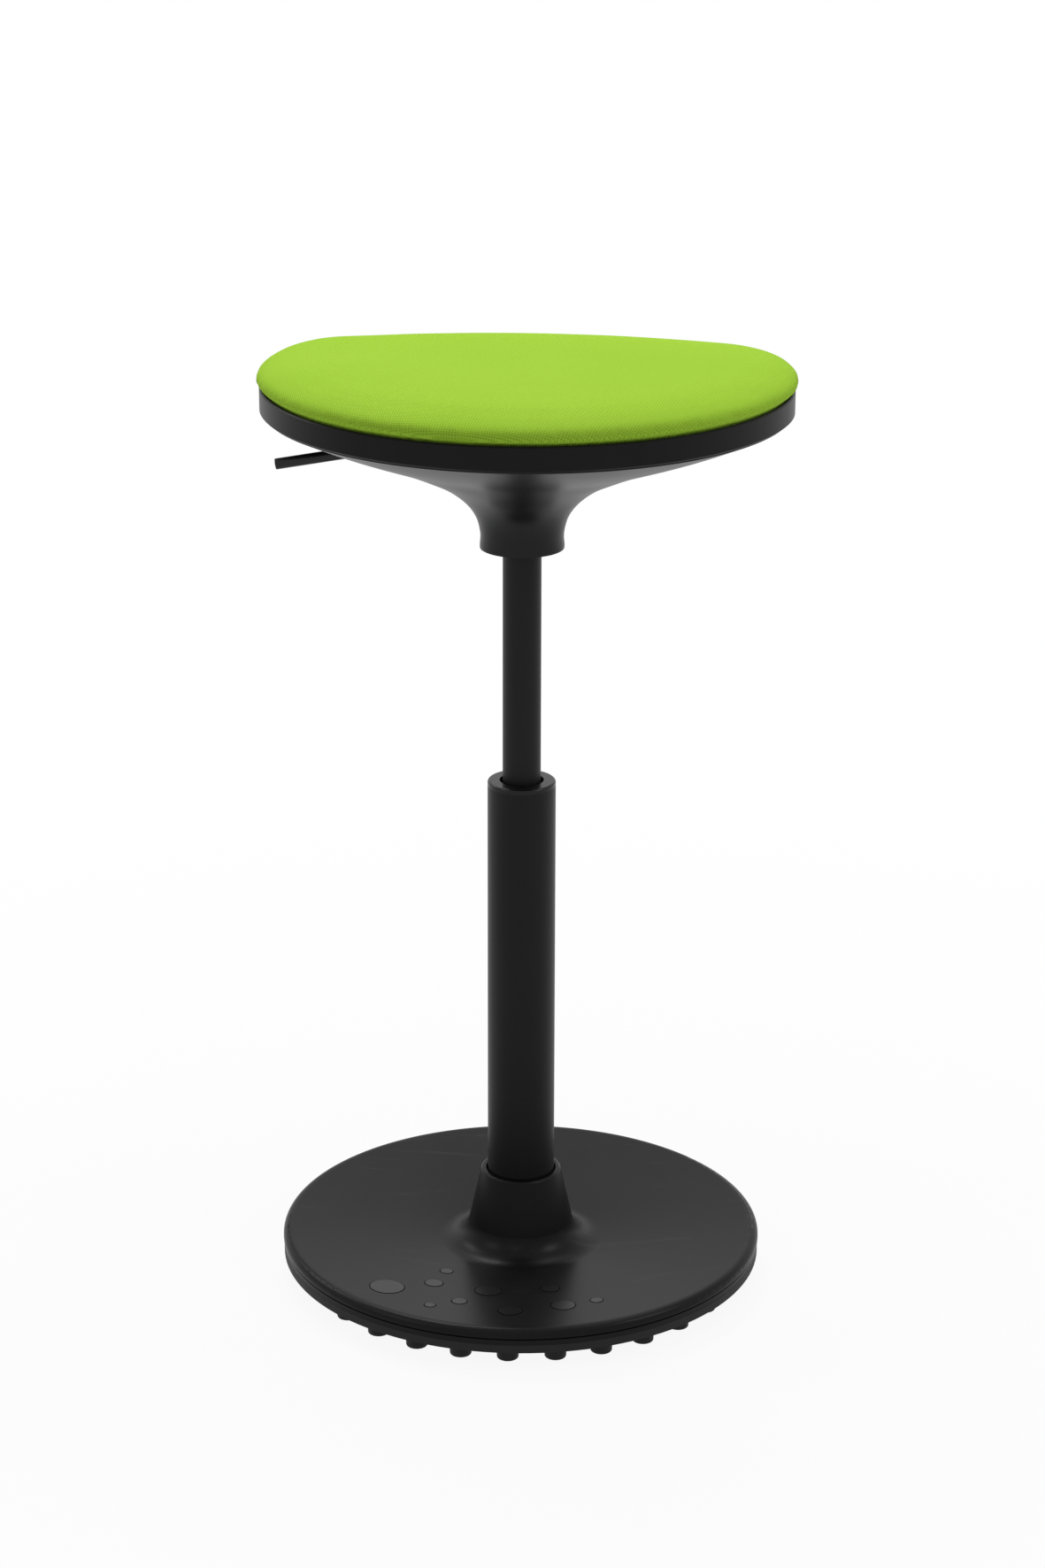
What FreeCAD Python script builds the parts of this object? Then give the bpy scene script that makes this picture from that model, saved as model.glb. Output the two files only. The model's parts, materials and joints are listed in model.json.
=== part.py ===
import FreeCAD, Part
import math
import os
import Sketcher

# Office stool with a gas lift. Millimetres and degrees. +Z is up, the origin is on the floor in
# the column axis, and the front of the seat faces -Y.

SHEET_NAME = "Sizes"
FULL_TURN = 360
QUARTER_TURN = 90

SIZES = {
    # Sole with its studs
    "sole_inset": 0.5,
    "sole_thickness": 6.1,
    "stud_height": 13.3,
    "stud_radius": 8.4,
    "stud_foot_radius": 7.9,
    "stud_foot_rounding": 1.4,
    "stud_turn_angle": 2.2,
    "stud_ring_inset": 19.8,
    "stud_ring_spacing": 31.0,
    # Dished steel plate and the hub welded to it
    "plate_inset": 0.6,
    "plate_thickness": 4.0,
    "plate_rim_width": 12.0,
    "dish_drop": 8.0,
    "hub_wall": 3.0,
    # Moulded cover
    "cover_radius": 180.3,
    "cover_wall": 2.8,
    "cover_seam": 1.4,
    "cover_seam_depth": 1.6,
    "lip_height": 8.1,
    "lip_rounding": 5.0,
    "lip_width": 6.6,
    "lip_flank_rounding": 14.0,
    "cone_height": 54.3,
    "cone_spread": 13.2,
    "cone_foot_rounding": 20.0,
    "cone_top_width": 3.8,
    "cone_top_rounding": 1.6,
    "cone_bore_gap": 1.0,
    "cone_bore_rounding": 0.8,
    "dot_depth": 1.4,
    "dot_raise": 0.25,
    "dot_gap": 0.7,
    "cover_screw_offset": 1.0,
    "cover_screw_radius": 1.75,
    "cover_screw_head_width": 1.75,
    "cover_screw_head_height": 1.9,
    "cover_boss_wall": 2.75,
    "cover_boss_height": 4.4,
    # Column tube and its liner
    "column_radius": 25.0,
    "column_wall": 2.0,
    "column_length": 353.9,
    "column_foot_gap": 6.6,
    "foot_taper_length": 36.0,
    "foot_taper": 0.7,
    "taper_clearance": 0.05,
    "end_disc_thickness": 3.0,
    "cap_height": 3.6,
    "cap_rounding": 1.6,
    "cap_mouth_width": 2.25,
    "cap_mouth_depth": 9.0,
    "liner_length": 117.0,
    "liner_clearance": 0.1,
    "slide_clearance": 0.06,
    # Bearing at the foot of the column
    "race_thickness": 1.5,
    "race_width": 9.0,
    "ball_radius": 1.75,
    "ball_offset": 5.2,
    "ball_clearance": 0.04,
    "cage_width": 5.0,
    "cage_thickness": 1.6,
    "bumper_height": 12.5,
    "bumper_width": 7.5,
    "bumper_rounding": 2.0,
    # Piston rod and piston
    "rod_radius": 5.0,
    "rod_clearance": 0.06,
    "rod_foot_length": 1.8,
    "clip_thickness": 1.1,
    "clip_width": 4.0,
    "groove_depth": 0.8,
    "washer_width": 6.0,
    "washer_thickness": 1.1,
    "piston_length": 12.0,
    "piston_stem_step": 1.0,
    "piston_stop_gap": 0.5,
    "piston_nut_width": 3.5,
    "piston_nut_height": 5.0,
    "stem_tip_length": 1.5,
    "seal_width": 2.8,
    "seal_depth": 1.9,
    "seal_rounding": 0.5,
    # Pressure tube and what it holds
    "tube_radius": 14.0,
    "tube_wall": 2.0,
    "tube_engagement": 168.9,
    "tube_lip_width": 0.8,
    "tube_lip_thickness": 1.2,
    "tube_end_rounding": 1.0,
    "raised_length": 176.3,
    "guide_length": 12.0,
    "rod_seal_height": 3.0,
    "cylinder_gap": 1.3,
    "cylinder_wall": 1.1,
    "valve_length": 37.7,
    "valve_disc_width": 1.5,
    "valve_disc_height": 3.4,
    "pin_radius": 3.0,
    "pin_rise": 8.5,
    "pin_rounding": 0.8,
    "pin_clearance": 0.05,
    "pin_contact_gap": 0.3,
    # Seat carrier
    "socket_wall": 4.5,
    "socket_height": 38.0,
    "socket_stand": 8.0,
    "tube_top_stand": 4.0,
    "tube_taper": 0.8,
    "bracket_back_room": 9.5,
    "bracket_front_room": 24.0,
    "bracket_side_gap": 1.0,
    "bracket_depth": 29.5,
    "bracket_wall": 2.5,
    "mount_length": 156.0,
    "mount_width": 124.0,
    "mount_thickness": 3.0,
    "mount_corner": 14.0,
    "mount_screw_inset": 16.0,
    "mount_screw_radius": 3.0,
    "mount_screw_head_width": 2.0,
    "mount_screw_head_height": 3.0,
    "mount_hole_clearance": 0.3,
    "nut_wall": 1.2,
    "nut_flange_width": 4.8,
    "nut_flange_thickness": 1.2,
    # Height lever
    "pivot_reach": 38.0,
    "pivot_drop": 3.1,
    "pivot_radius": 2.0,
    "pivot_clearance": 0.06,
    "pivot_overhang": 2.6,
    "pivot_head_width": 1.5,
    "pivot_head_height": 1.5,
    "pivot_clip_width": 2.0,
    "lever_radius": 4.0,
    "lever_length": 140.7,
    "lever_slope_angle": 10.1,
    "lever_swing_angle": 4.5,
    "lever_hole_gap": 1.1,
    "lever_barrel_wall": 3.0,
    "lever_side_gap": 0.5,
    "paddle_width": 16.0,
    "paddle_thickness": 4.0,
    "paddle_overlap": 6.0,
    # Seat outline: front arc, flanks, corners and back, all tangent
    "seat_front_reach": 139.6,
    "seat_front_radius": 193.6,
    "seat_front_half_angle": 76.5,
    "seat_flank_radius": 150.4,
    "seat_flank_end_angle": 19.6,
    "seat_corner_radius": 61.2,
    "seat_back_bow": 14.5,
    # Moulded cover under the seat
    "neck_radius": 30.0,
    "neck_floor": 2.5,
    "neck_gap": 1.2,
    "under_cover_height": 90.2,
    "under_cover_wall": 3.0,
    "under_edge_height": 1.4,
    "under_edge_inset": 3.0,
    "under_boss_wall": 3.25,
    "under_screw_radius": 1.75,
    "under_screw_head_width": 1.85,
    "under_screw_head_height": 2.2,
    "under_screw_well_gap": 0.3,
    "under_boss_cap": 4.0,
    "under_screw_bite": 6.5,
    # Rim, board and upholstery
    "rim_seam": 0.3,
    "rim_height": 17.5,
    "rim_wall": 3.0,
    "rim_edge": 0.9,
    "ledge_height": 3.7,
    "ledge_width": 9.0,
    "board_thickness": 9.0,
    "fabric_gap": 2.2,
    "fabric_thickness": 1.2,
    "foam_gap": 0.2,
    "board_gap": 0.6,
    "cushion_rise": 25.4,
    "cushion_crown": 4.0,
    "overrun": 1.0,
}

STUD_COUNTS = (29, 22, 16, 12)
STUD_CORNERS = 5
BALL_COUNT = 10
COVER_SCREW_COUNT = 4
HEX_SIDES = 6
UNDER_SECTION_COUNT = 36
CUSHION_SECTION_COUNT = 64

# Centre and width of each grip dot, as shares of the cover's radius
DOT_SHARES = (
    (-0.501, -0.617, 0.139),
    (-0.317, -0.534, 0.073),
    (-0.278, -0.394, 0.051),
    (-0.310, -0.774, 0.044),
    (-0.196, -0.713, 0.061),
    (-0.089, -0.580, 0.107),
    (0.016, -0.790, 0.096),
    (0.161, -0.536, 0.074),
    (0.225, -0.719, 0.098),
    (0.358, -0.663, 0.050),
)

# Sections of the cover under the seat, from the neck's foot to its edge: share of the neck radius,
# share of the seat outline, share of the height below the edge
UNDER_SHARES = (
    (1.012, 0.000, 0.000),
    (0.999, 0.000, 0.068),
    (1.008, 0.000, 0.135),
    (1.046, 0.000, 0.203),
    (1.122, 0.000, 0.270),
    (1.246, 0.000, 0.338),
    (1.425, 0.000, 0.405),
    (1.665, 0.000, 0.473),
    (1.969, 0.000, 0.541),
    (1.863, 0.093, 0.608),
    (1.370, 0.303, 0.700),
    (0.686, 0.578, 0.790),
    (0.187, 0.852, 0.912),
    (0.070, 0.951, 0.972),
    (0.000, 1.000, 1.000),
)

# Side of the cushion: share of the fabric gap that it stands in from the rim's inner wall, or out
# over the rim where negative, and share of the side's rise
SIDE_SHARES = (
    (1.00, 0.000),
    (1.00, 0.110),
    (1.00, 0.220),
    (1.00, 0.320),
    (0.97, 0.390),
    (0.82, 0.435),
    (0.35, 0.480),
    (-0.50, 0.535),
    (-1.40, 0.615),
    (-1.80, 0.705),
    (-1.55, 0.790),
    (-0.50, 0.865),
    (1.50, 0.930),
    (4.10, 0.975),
    (7.20, 1.000),
)

# Crown of the cushion: share of the seat outline, share of the inset left by the side, and share
# of the crown's height
CROWN_SHARES = (
    (0.93, 0.90, 0.250),
    (0.80, 0.70, 0.520),
    (0.60, 0.44, 0.770),
    (0.38, 0.21, 0.920),
    (0.16, 0.06, 0.985),
    (0.04, 0.01, 1.000),
)

# Screws of the cover under the seat, as shares of the mean reach of the seat outline
UNDER_SCREW_SHARES = ((-0.61, 0.37), (0.61, 0.37), (-0.24, 0.62), (0.24, 0.62))

os.makedirs("parts", exist_ok=True)
doc = FreeCAD.newDocument("OfficeStool")
sheet = doc.addObject("Spreadsheet::Sheet", SHEET_NAME)
for row, (alias, number) in enumerate(SIZES.items(), start=1):
    sheet.set(f"A{row}", alias)
    sheet.set(f"B{row}", str(number))
    sheet.setAlias(f"B{row}", alias)
doc.recompute()

NODES = []


class Size:
    """A size of the stool: its number, and the same sum as text for the sheet."""

    def __init__(self, value, text):
        self.value = value
        self.text = text

    def __add__(self, other):
        other = as_size(other)
        return Size(self.value + other.value, f"({self.text} + {other.text})")

    def __radd__(self, other):
        return as_size(other) + self

    def __sub__(self, other):
        other = as_size(other)
        return Size(self.value - other.value, f"({self.text} - {other.text})")

    def __rsub__(self, other):
        return as_size(other) - self

    def __mul__(self, other):
        other = as_size(other)
        return Size(self.value * other.value, f"({self.text} * {other.text})")

    def __rmul__(self, other):
        return as_size(other) * self

    def __truediv__(self, other):
        other = as_size(other)
        return Size(self.value / other.value, f"({self.text} / {other.text})")

    def __neg__(self):
        return Size(-self.value, f"(0 - {self.text})")


def as_size(thing):
    """Turn a plain share or count into a Size."""
    if isinstance(thing, Size):
        return thing
    return Size(float(thing), f"({float(thing):.9f})")


class Sheet:
    """The named sizes of the sheet, read as s.sole_radius and so on."""

    def __init__(self, names):
        for name in names:
            setattr(self, name, Size(float(sheet.get(name)), f"{SHEET_NAME}.{name}"))


s = Sheet(SIZES)


def bind(thing, name, size):
    """Set a property to a size and tie it to the sheet."""
    size = as_size(size)
    setattr(thing, name, size.value)
    thing.setExpression(name, size.text)


def place(thing, x=0, y=0, z=0, turn=None):
    """Put an object at sizes x, y, z, tied to the sheet, with a fixed rotation."""
    spot = [as_size(coordinate) for coordinate in (x, y, z)]
    base = FreeCAD.Vector(*[size.value for size in spot])
    thing.Placement = FreeCAD.Placement(base, turn or FreeCAD.Rotation())
    for axis, size in zip("xyz", spot):
        thing.setExpression(f"Placement.Base.{axis}", size.text)
    return thing


def node(thing, label):
    """Give a finished sub-part its name and list it for export."""
    thing.Label = label
    NODES.append(thing)
    return thing


def corner_geometry(before, corner, after, rounding):
    """Start, middle and end of the arc that rounds a corner."""
    inward = (before - corner).normalize()
    outward = (after - corner).normalize()
    half_angle = inward.getAngle(outward) / 2
    reach = rounding / math.tan(half_angle)
    bisector = (inward + outward).normalize()
    middle = corner + bisector * (rounding / math.sin(half_angle) - rounding)
    return corner + inward * reach, middle, corner + outward * reach


def pin_point(sketch, geometry, point, corner, index):
    """Tie one point of a sketch to the sizes of a corner."""
    for axis, size, kind, own_axis in zip("xy", corner[:2], ("DistanceX", "DistanceY"), (-2, -1)):
        if size.value == 0:
            sketch.addConstraint(Sketcher.Constraint("PointOnObject", geometry, point, own_axis))
            continue
        rule = Sketcher.Constraint(kind, -1, 1, geometry, point, size.value)
        number = sketch.addConstraint(rule)
        name = f"{axis}{index}"
        sketch.renameConstraint(number, name)
        sketch.setExpression(f"Constraints.{name}", size.text)


def outline_sketch(body, role, corners):
    """Closed outline through corners of (across, up) or (across, up, rounding), all sizes."""
    plane = next(feature for feature in body.Origin.OriginFeatures if feature.Role == role)
    sketch = body.newObject("Sketcher::SketchObject", body.Name + "_outline")
    sketch.AttachmentSupport = (plane, [""])
    sketch.MapMode = "FlatFace"
    corners = [tuple(as_size(size) for size in corner) for corner in corners]
    count = len(corners)
    points = [FreeCAD.Vector(corner[0].value, corner[1].value, 0) for corner in corners]
    arrive = []
    leave = []
    for index, corner in enumerate(corners):
        if len(corner) == 2:
            arrive.append(points[index])
            leave.append(points[index])
            continue
        start, middle, end = corner_geometry(
            points[index - 1], points[index], points[(index + 1) % count], corner[2].value)
        arrive.append(start)
        leave.append(end)
    for index in range(count):
        sketch.addGeometry(Part.LineSegment(leave[index], arrive[(index + 1) % count]), False)
    for index, corner in enumerate(corners):
        line_in = (index - 1) % count
        if len(corner) == 2:
            sketch.addConstraint(Sketcher.Constraint("Coincident", line_in, 2, index, 1))
            pin_point(sketch, index, 1, corner, index)
            continue
        start, middle, end = corner_geometry(
            points[index - 1], points[index], points[(index + 1) % count], corner[2].value)
        arc = sketch.addGeometry(Part.Arc(start, middle, end), False)
        first = 1 if sketch.getPoint(arc, 1).distanceToPoint(start) < corner[2].value / 100 else 2
        mark = sketch.addGeometry(Part.Point(points[index]), True)
        sketch.addConstraint([
            Sketcher.Constraint("Tangent", line_in, 2, arc, first),
            Sketcher.Constraint("Tangent", arc, 3 - first, index, 1),
            Sketcher.Constraint("PointOnObject", mark, 1, line_in),
            Sketcher.Constraint("PointOnObject", mark, 1, index),
        ])
        pin_point(sketch, mark, 1, corner, index)
        number = sketch.addConstraint(Sketcher.Constraint("Radius", arc, corner[2].value))
        sketch.renameConstraint(number, f"rounding{index}")
        sketch.setExpression(f"Constraints.rounding{index}", corner[2].text)
    return sketch


def turned(label, corners):
    """A body turned about the column axis from an outline of radii and levels."""
    body = doc.addObject("PartDesign::Body", label)
    sketch = outline_sketch(body, "XZ_Plane", corners)
    turn = body.newObject("PartDesign::Revolution", label + "_turn")
    turn.Profile = sketch
    turn.ReferenceAxis = (sketch, ["V_Axis"])
    turn.Angle = FULL_TURN
    body.Tip = turn
    return body


def ring(label, inner, outer, bottom, top):
    """A plain turned ring."""
    return turned(label, [(inner, bottom), (outer, bottom), (outer, top), (inner, top)])


def cylinder(label, radius, height, x=0, y=0, z=0, turn=None):
    """A cylinder that stands on the given spot."""
    thing = doc.addObject("Part::Cylinder", label)
    bind(thing, "Radius", radius)
    bind(thing, "Height", height)
    return place(thing, x, y, z, turn)


def cone(label, low_radius, high_radius, height, x=0, y=0, z=0):
    """An upright cone."""
    thing = doc.addObject("Part::Cone", label)
    bind(thing, "Radius1", low_radius)
    bind(thing, "Radius2", high_radius)
    bind(thing, "Height", height)
    return place(thing, x, y, z)


def block(label, length, width, height, x=0, y=0, z=0):
    """A box from its lowest corner."""
    thing = doc.addObject("Part::Box", label)
    bind(thing, "Length", length)
    bind(thing, "Width", width)
    bind(thing, "Height", height)
    return place(thing, x, y, z)


def joined(label, things):
    """Several objects as one solid."""
    thing = doc.addObject("Part::MultiFuse", label)
    thing.Shapes = things
    thing.Refine = True
    return thing


def shared(label, things):
    """What several objects have in common."""
    thing = doc.addObject("Part::MultiCommon", label)
    thing.Shapes = things
    return thing


def cut(label, base, tool):
    """One object less another."""
    thing = doc.addObject("Part::Cut", label)
    thing.Base = base
    thing.Tool = tool
    return thing


def group(label, things):
    """Separate solids kept in one sub-part."""
    thing = doc.addObject("Part::Compound", label)
    thing.Links = things
    return thing


def solid(label, shape):
    """A sub-part whose shape is worked out here."""
    thing = doc.addObject("Part::Feature", label)
    thing.Shape = shape
    return thing


# Radii of the base, inwards from its edge
sole_radius = s.cover_radius - s.sole_inset
stud_ring_radius = sole_radius - s.stud_ring_inset
plate_radius = s.cover_radius - s.plate_inset
plate_slope_radius = s.cover_radius - s.plate_rim_width
lip_crest_radius = s.cover_radius - s.lip_width

# Radii about the column, outwards from the tube
column_bore = s.column_radius - s.column_wall
hub_radius = s.column_radius + s.hub_wall
cone_bore = s.column_radius + s.cone_bore_gap
cone_top_radius = cone_bore + s.cone_top_width
cone_foot_radius = cone_top_radius + s.cone_spread
plate_flat_radius = cone_foot_radius + s.cone_foot_rounding
cover_screw_ring = cone_foot_radius + s.cover_screw_offset
cover_screw_head = s.cover_screw_radius + s.cover_screw_head_width

# Radii of the gas spring and its socket
tube_bore = s.tube_radius - s.tube_wall
cylinder_radius = tube_bore - s.cylinder_gap
stem_radius = s.rod_radius - s.piston_stem_step
ball_ring = s.rod_radius + s.ball_offset
race_radius = s.rod_radius + s.race_width
socket_radius = s.tube_radius + s.socket_wall
nut_radius = s.mount_screw_radius + s.nut_wall

# Reaches of the lever bracket about the socket and the pivot
bracket_back = socket_radius + s.bracket_back_room
bracket_front = s.pivot_reach + s.bracket_front_room
bracket_half_width = socket_radius + s.bracket_side_gap + s.bracket_wall
bracket_width = bracket_half_width + bracket_half_width
bracket_length = bracket_back + bracket_front

# Levels of the base, at its rim and in the well about the column
sole_top = s.stud_height + s.sole_thickness
plate_top = sole_top + s.plate_thickness
lip_top = plate_top + s.lip_height
well_sole_top = sole_top - s.dish_drop
well_plate_top = plate_top - s.dish_drop
dish_floor = well_plate_top + s.cover_wall
cone_top = plate_top + s.cone_height
column_foot = plate_top + s.column_foot_gap
column_top = column_foot + s.column_length
cap_top = column_top + s.cap_height

# Levels of the gas spring and the seat
disc_top = column_foot + s.end_disc_thickness
lower_race_top = disc_top + s.race_thickness
upper_race_foot = lower_race_top + 2 * (s.ball_radius + s.ball_clearance)
upper_race_top = upper_race_foot + s.race_thickness
bumper_top = upper_race_top + s.bumper_height
tube_foot = column_top - s.tube_engagement
guide_foot = tube_foot + s.tube_lip_thickness
guide_top = guide_foot + s.guide_length
rod_seal_top = guide_top + s.rod_seal_height
piston_foot = rod_seal_top + s.piston_stop_gap
piston_top = piston_foot + s.piston_length
neck_foot = cap_top + s.raised_length
rim_foot = neck_foot + s.under_cover_height
board_foot = rim_foot + s.ledge_height + s.rim_seam
board_top = board_foot + s.board_thickness
mount_foot = board_foot - s.mount_thickness
bracket_foot = mount_foot - s.bracket_depth
bracket_floor = bracket_foot + s.bracket_wall
socket_top = bracket_floor + s.socket_stand
socket_foot = socket_top - s.socket_height
tube_top = socket_top + s.tube_top_stand
valve_top = tube_top - s.tube_lip_thickness
valve_foot = valve_top - s.valve_length
pin_top = tube_top + s.pin_rise
paddle_foot = pin_top + s.pin_contact_gap
pivot_level = paddle_foot - s.pivot_drop


def dished(foot, top, radius):
    """Turned corners of a dished layer, from its foot and top levels at the rim."""
    return [
        (0, foot - s.dish_drop),
        (plate_flat_radius, foot - s.dish_drop),
        (plate_slope_radius, foot),
        (radius, foot),
        (radius, top),
        (plate_slope_radius, top),
        (plate_flat_radius, top - s.dish_drop),
        (0, top - s.dish_drop),
    ]


def build_sole():
    """Dished rubber sole with rings of tapered studs."""
    body = turned("studded_sole", dished(s.stud_height, sole_top, sole_radius))
    fall = s.dish_drop / (plate_slope_radius - plate_flat_radius)
    for number, count in enumerate(STUD_COUNTS):
        pitch = stud_ring_radius - number * s.stud_ring_spacing
        root = s.stud_height - fall * (plate_slope_radius - pitch)
        stud = body.newObject("PartDesign::Revolution", f"stud_{number}")
        stud.Profile = outline_sketch(body, "XZ_Plane", [
            (pitch, 0),
            (pitch + s.stud_foot_radius, 0, s.stud_foot_rounding),
            (pitch + s.stud_radius, root),
            (pitch + s.stud_radius, root + s.overrun),
            (pitch, root + s.overrun),
        ])
        sketch = stud.Profile[0]
        foot = FreeCAD.Vector(pitch.value, 0, 0)
        lift = FreeCAD.Vector(0, root.value + s.overrun.value, 0)
        centre_line = sketch.addGeometry(Part.LineSegment(foot + lift, foot), True)
        side = STUD_CORNERS - 1
        sketch.addConstraint([
            Sketcher.Constraint("Coincident", centre_line, 1, side, 1),
            Sketcher.Constraint("Coincident", centre_line, 2, side, 2),
        ])
        stud.ReferenceAxis = (sketch, ["Axis0"])
        stud.Angle = FULL_TURN
        pattern = body.newObject("PartDesign::PolarPattern", f"stud_ring_{number}")
        pattern.Originals = [stud]
        pattern.Axis = (body.Origin.OriginFeatures[2], [""])
        pattern.Angle = FULL_TURN
        pattern.Occurrences = count
        body.Tip = pattern
    upright = FreeCAD.Vector(0, 0, 1)
    node(place(body, turn=FreeCAD.Rotation(upright, -s.stud_turn_angle.value)), "studded_sole")


def polar_spots(radius, count):
    """Evenly spaced spots round the column axis."""
    for number in range(count):
        angle = math.radians(FULL_TURN * (number + 0.5) / count)
        yield radius * math.cos(angle), radius * math.sin(angle)


def build_plate():
    """Dished steel plate, and the tapered hub welded to it."""
    disc = turned("base_plate_disc", dished(sole_top, plate_top, plate_radius))
    holes = []
    for x, y in polar_spots(cover_screw_ring, COVER_SCREW_COUNT):
        holes.append(cylinder("plate_hole", s.cover_screw_radius + s.mount_hole_clearance,
                              s.plate_thickness, x, y, well_sole_top))
        holes.append(cone("plate_countersink", cover_screw_head + s.mount_hole_clearance,
                          s.cover_screw_radius + s.mount_hole_clearance,
                          s.cover_screw_head_height + s.mount_hole_clearance,
                          x, y, well_sole_top))
    node(cut("plate_cut", disc, joined("plate_holes", holes)), "base_plate")
    taper_foot = s.column_radius - s.foot_taper + s.taper_clearance
    node(turned("hub", [
        (taper_foot, well_plate_top),
        (hub_radius, well_plate_top),
        (hub_radius, column_foot + s.foot_taper_length),
        (s.column_radius + s.taper_clearance, column_foot + s.foot_taper_length),
        (taper_foot, column_foot),
    ]), "hub_socket")


def build_cover():
    """Dish, lip and cone, with the pockets for the grip dots."""
    inner_edge = s.cover_radius - s.cover_wall
    seam_radius = s.cover_radius - s.cover_seam_depth
    body = turned("cover_body", [
        (inner_edge, plate_top),
        (seam_radius, plate_top),
        (seam_radius, plate_top + s.cover_seam),
        (s.cover_radius, plate_top + s.cover_seam),
        (s.cover_radius, lip_top, s.lip_rounding),
        (lip_crest_radius, lip_top, s.lip_flank_rounding),
        (cone_foot_radius, dish_floor, s.cone_foot_rounding),
        (cone_top_radius, cone_top, s.cone_top_rounding),
        (cone_bore, cone_top, s.cone_bore_rounding),
        (cone_bore, cone_top - s.cover_wall),
        (cone_top_radius - s.cover_wall, cone_top - s.cover_wall),
        (cone_foot_radius - s.cover_wall, well_plate_top, s.cone_foot_rounding - s.cover_wall),
        (lip_crest_radius, lip_top - s.cover_wall),
        (inner_edge, lip_top - s.cover_wall),
    ])
    slope = (lip_top - dish_floor) / (lip_crest_radius - cone_foot_radius)

    def dish_level(radius):
        return dish_floor + slope * (radius - cone_foot_radius)

    near = cone_foot_radius + s.cone_foot_rounding
    far = lip_crest_radius - s.lip_flank_rounding

    def dish_band(label, depth, rise):
        return turned(label, [
            (near, dish_level(near) - depth),
            (far, dish_level(far) - depth),
            (far, dish_level(far) + rise),
            (near, dish_level(near) + rise),
        ])

    def dot_columns(label, gap):
        columns = []
        for x_share, y_share, width_share in DOT_SHARES:
            radius = s.cover_radius * (width_share / 2) + gap
            columns.append(cylinder(label, radius, lip_top,
                                    s.cover_radius * x_share, s.cover_radius * y_share))
        return group(label + "s", columns)

    dots = shared("dots", [dot_columns("dot_column", as_size(0)),
                           dish_band("dot_band", s.dot_depth, s.dot_raise)])
    node(dots, "grip_dots")
    pockets = shared("dot_pockets", [dot_columns("pocket_column", s.dot_gap),
                                     dish_band("pocket_band", s.dot_depth, s.overrun)])
    bosses = []
    wells = []
    screws = []
    for x, y in polar_spots(cover_screw_ring, COVER_SCREW_COUNT):
        bosses.append(cylinder("cover_boss", s.cover_screw_radius + s.cover_boss_wall,
                               s.cover_boss_height, x, y, well_plate_top))
        wells.append(cylinder("cover_well", s.cover_screw_radius, s.cover_boss_height,
                              x, y, well_plate_top))
        head = cone("cover_screw_head", cover_screw_head, s.cover_screw_radius,
                    s.cover_screw_head_height, x, y, well_sole_top)
        shank = cylinder("cover_screw_shank", s.cover_screw_radius,
                         s.plate_thickness + s.cover_boss_height - s.mount_hole_clearance,
                         x, y, well_sole_top)
        screws.append(joined("cover_screw", [head, shank]))
    pocketed = cut("cover_pocketed", joined("cover_with_bosses", [body] + bosses), pockets)
    node(cut("cover", pocketed, joined("cover_wells", wells)), "base_cover")
    node(group("cover_screw_set", screws), "cover_screws")


def build_column():
    """Outer tube, the disc in its foot and the plastic liner in its top."""
    node(turned("tube", [
        (column_bore, column_foot),
        (s.column_radius - s.foot_taper, column_foot),
        (s.column_radius, column_foot + s.foot_taper_length),
        (s.column_radius, column_top),
        (column_bore, column_top),
    ]), "column_tube")
    node(ring("disc", s.rod_radius + s.rod_clearance, column_bore - s.taper_clearance,
              column_foot, disc_top), "end_disc")
    slide_bore = s.tube_radius + s.slide_clearance
    mouth_radius = s.tube_radius + s.cap_mouth_width
    mouth_foot = cap_top - s.cap_mouth_depth
    node(turned("liner", [
        (slide_bore, column_top - s.liner_length),
        (column_bore - s.liner_clearance, column_top - s.liner_length),
        (column_bore - s.liner_clearance, column_top),
        (s.column_radius, column_top),
        (s.column_radius, cap_top, s.cap_rounding),
        (mouth_radius, cap_top),
        (mouth_radius, mouth_foot),
        (slide_bore, mouth_foot - s.cap_mouth_width),
    ]), "guide_bushing")


def build_bearing():
    """Thrust bearing that the piston rod turns on, and the end-stop bumper above it."""
    inner = ball_ring - s.cage_width / 2
    outer = ball_ring + s.cage_width / 2
    middle = lower_race_top + s.ball_radius + s.ball_clearance
    node(ring("race_low", s.rod_radius + s.rod_clearance, race_radius, disc_top, lower_race_top),
         "lower_race")
    node(ring("race_high", s.rod_radius, race_radius, upper_race_foot, upper_race_top),
         "upper_race")
    blank = ring("cage_blank", inner, outer, middle - s.cage_thickness / 2,
                 middle + s.cage_thickness / 2)
    seats = []
    balls = []
    for x, y in polar_spots(ball_ring, BALL_COUNT):
        seats.append(cylinder("cage_seat", s.ball_radius + s.ball_clearance, s.cage_thickness,
                              x, y, middle - s.cage_thickness / 2))
        ball = doc.addObject("Part::Sphere", "bearing_ball")
        bind(ball, "Radius", s.ball_radius)
        balls.append(place(ball, x, y, middle))
    node(cut("cage", blank, joined("cage_seats", seats)), "ball_cage")
    node(group("ball_set", balls), "bearing_balls")
    bumper_radius = s.rod_radius + s.bumper_width
    node(turned("end_bumper", [
        (s.rod_radius, upper_race_top),
        (bumper_radius, upper_race_top, s.bumper_rounding),
        (bumper_radius, bumper_top, s.bumper_rounding),
        (s.rod_radius, bumper_top),
    ]), "bumper")


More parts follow.
